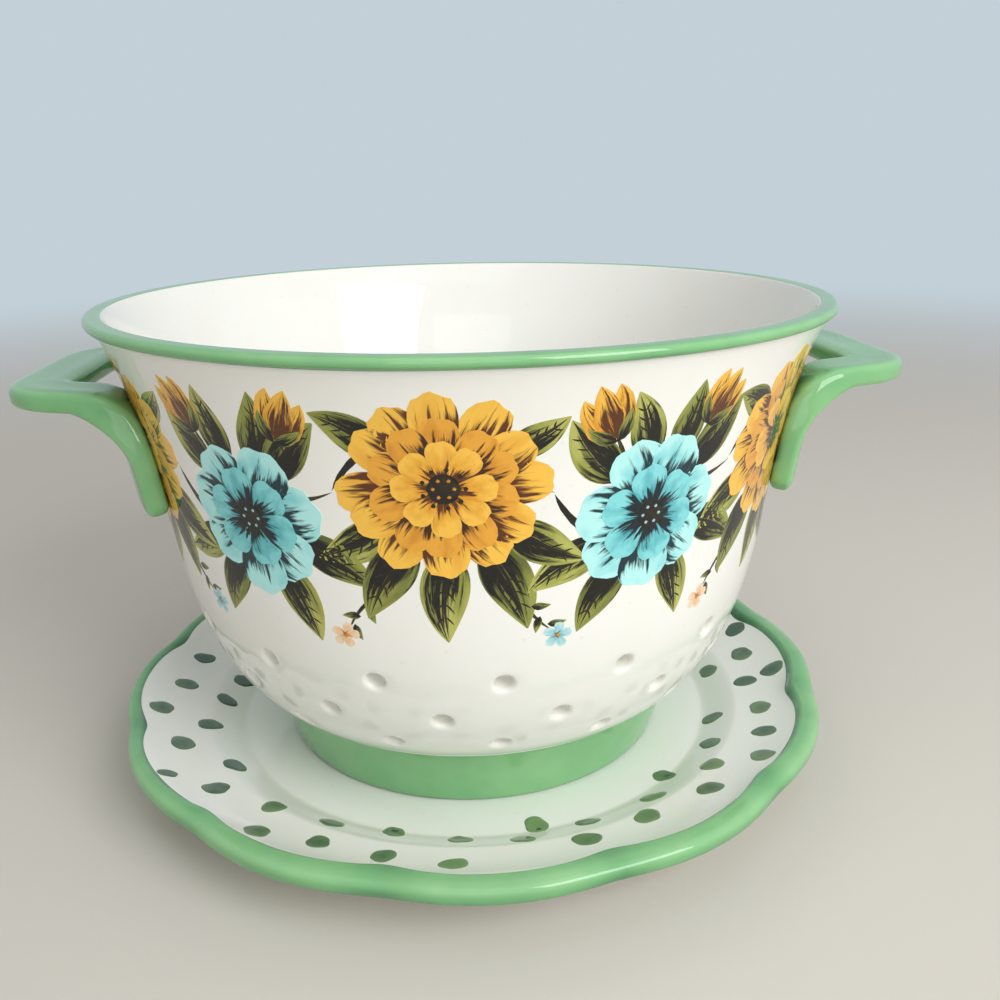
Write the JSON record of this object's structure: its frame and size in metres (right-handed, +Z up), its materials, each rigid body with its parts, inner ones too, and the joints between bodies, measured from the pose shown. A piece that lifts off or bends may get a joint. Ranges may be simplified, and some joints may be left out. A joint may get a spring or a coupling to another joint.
{
  "type": "colander bowl with drip plate",
  "caption": "Footed stoneware colander bowl with lug handles, standing on a scalloped drip plate, for rinsing and serving berries.",
  "frame": {"origin": "on the table under the middle of the drip plate", "axes": "+Z up through the bowl's mouth, +X through the right handle, -Y towards the side that the picture shows"},
  "size_m": [0.1904, 0.1688, 0.1075],
  "materials": {
    "ivory_glaze": "glossy ivory glaze over stoneware",
    "jade_glaze": "glossy jade green glaze, thinner on edges",
    "bare_stoneware": "unglazed, fine sandy bisque"
  },
  "bodies": {
    "plate": {"plate_dish": "ivory_glaze", "plate_lip": "jade_glaze", "plate_foot_ring": "bare_stoneware"},
    "bowl": {"bowl_wall": "ivory_glaze", "strainer_floor": "ivory_glaze", "rim_bead": "jade_glaze", "bowl_foot_ring": "jade_glaze", "left_handle": "jade_glaze", "right_handle": "jade_glaze"}
  },
  "joints": [
    {"name": "bowl_lift", "type": "slide", "parent": "plate", "child": "bowl", "axis": [0, 0, 1], "range_m": [0, 0.12]}
  ]
}
